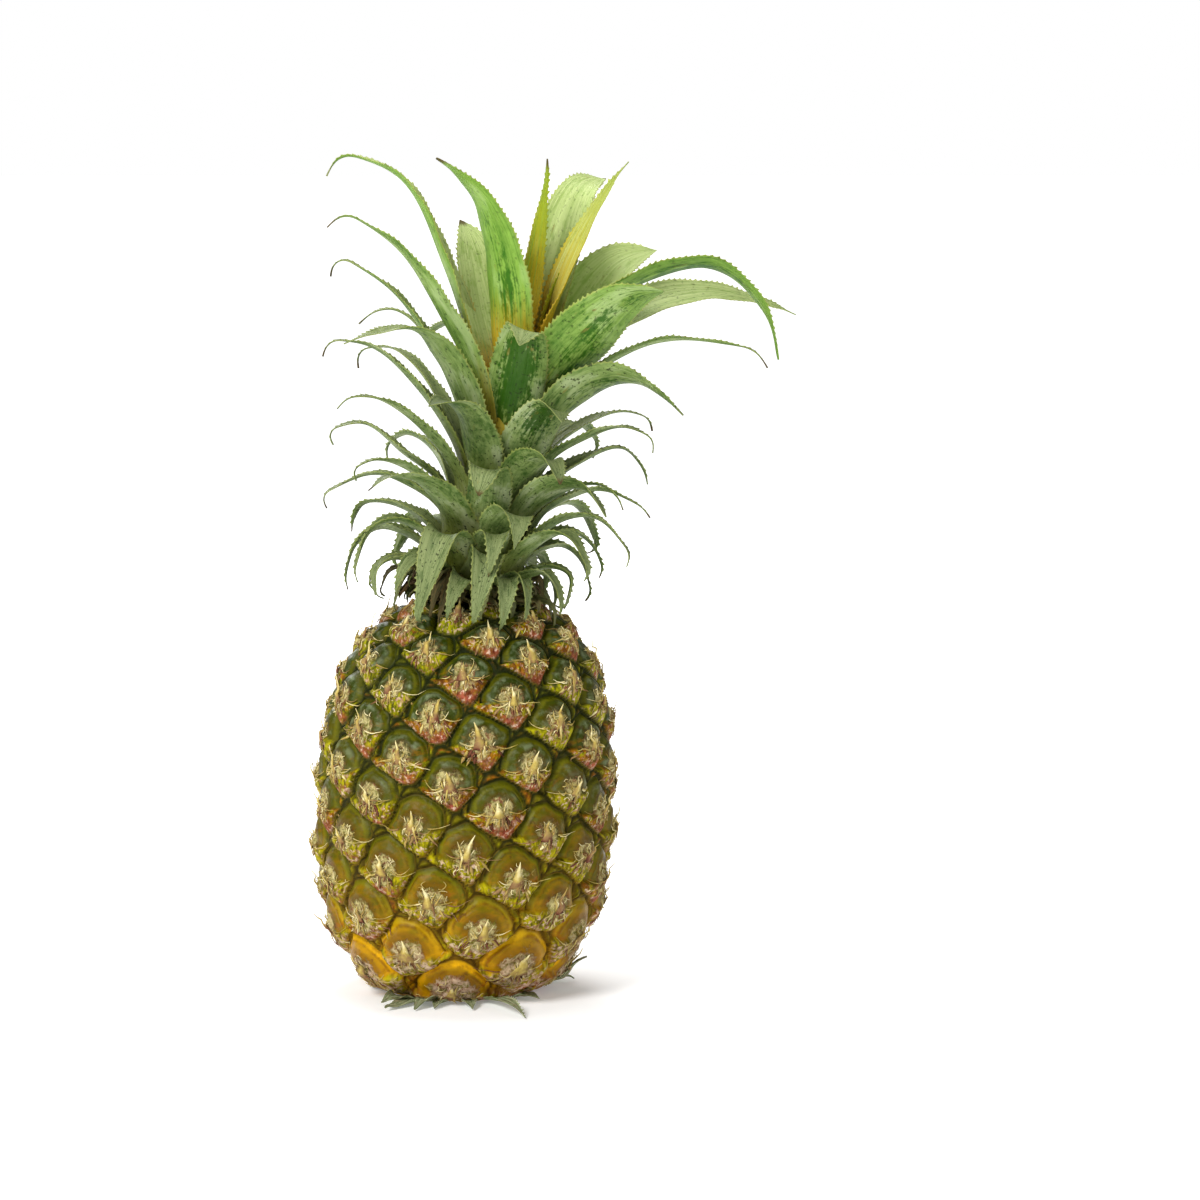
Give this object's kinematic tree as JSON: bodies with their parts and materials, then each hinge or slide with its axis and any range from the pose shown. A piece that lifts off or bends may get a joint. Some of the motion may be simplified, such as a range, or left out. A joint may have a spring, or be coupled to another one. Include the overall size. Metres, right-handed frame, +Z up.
{
  "type": "pineapple",
  "caption": "Whole upright fruit with a rough skin of raised eyes in spirals, and a crown of long toothed leaves.",
  "frame": {"origin": "middle of the flat spot under the base that the fruit stands on", "axes": "+Z up from the base to the crown, +X to the side that the crown leans to, -Y the front"},
  "size_m": [0.1956, 0.1265, 0.3363],
  "materials": {
    "fruit_skin": "waxy olive-green rind with a dull gloss, yellow towards the base",
    "leaf": "fibrous grey-green leaf with a dull bloom",
    "stem_fibre": "pale dry plant fibre",
    "dry_bract": "dry papery leaf, green to brown"
  },
  "bodies": {
    "root": {"base_bract_1": "dry_bract", "base_bract_2": "dry_bract", "base_bract_3": "dry_bract", "crown_leaf_01": "leaf", "crown_leaf_02": "leaf", "crown_leaf_03": "leaf", "crown_leaf_04": "leaf", "crown_leaf_05": "leaf", "crown_leaf_06": "leaf", "crown_leaf_07": "leaf", "crown_leaf_08": "leaf", "crown_leaf_09": "leaf", "crown_leaf_10": "leaf", "crown_leaf_11": "leaf", "crown_leaf_12": "leaf", "crown_leaf_13": "leaf", "crown_leaf_14": "leaf", "crown_leaf_15": "leaf", "crown_leaf_16": "leaf", "crown_leaf_17": "leaf", "crown_leaf_18": "leaf", "crown_leaf_19": "leaf", "crown_leaf_20": "leaf", "crown_leaf_21": "leaf", "crown_leaf_22": "leaf", "crown_leaf_23": "leaf", "crown_leaf_24": "leaf", "crown_leaf_25": "leaf", "crown_leaf_26": "leaf", "crown_leaf_27": "leaf", "crown_leaf_28": "leaf", "crown_leaf_29": "leaf", "crown_leaf_30": "leaf", "crown_leaf_31": "leaf", "crown_leaf_32": "leaf", "crown_leaf_33": "leaf", "crown_leaf_34": "leaf", "crown_leaf_35": "leaf", "crown_leaf_36": "leaf", "crown_leaf_37": "leaf", "crown_leaf_38": "leaf", "crown_leaf_39": "leaf", "crown_leaf_40": "leaf", "crown_leaf_41": "leaf", "crown_leaf_42": "leaf", "crown_leaf_43": "leaf", "crown_leaf_44": "leaf", "crown_leaf_45": "leaf", "crown_leaf_46": "leaf", "crown_leaf_47": "leaf", "crown_leaf_48": "leaf", "crown_leaf_49": "leaf", "crown_leaf_50": "leaf", "crown_leaf_51": "leaf", "crown_leaf_52": "leaf", "crown_leaf_53": "leaf", "crown_leaf_54": "leaf", "crown_stem": "stem_fibre", "fruit": "fruit_skin", "stem_stub": "stem_fibre"}
  },
  "joints": []
}
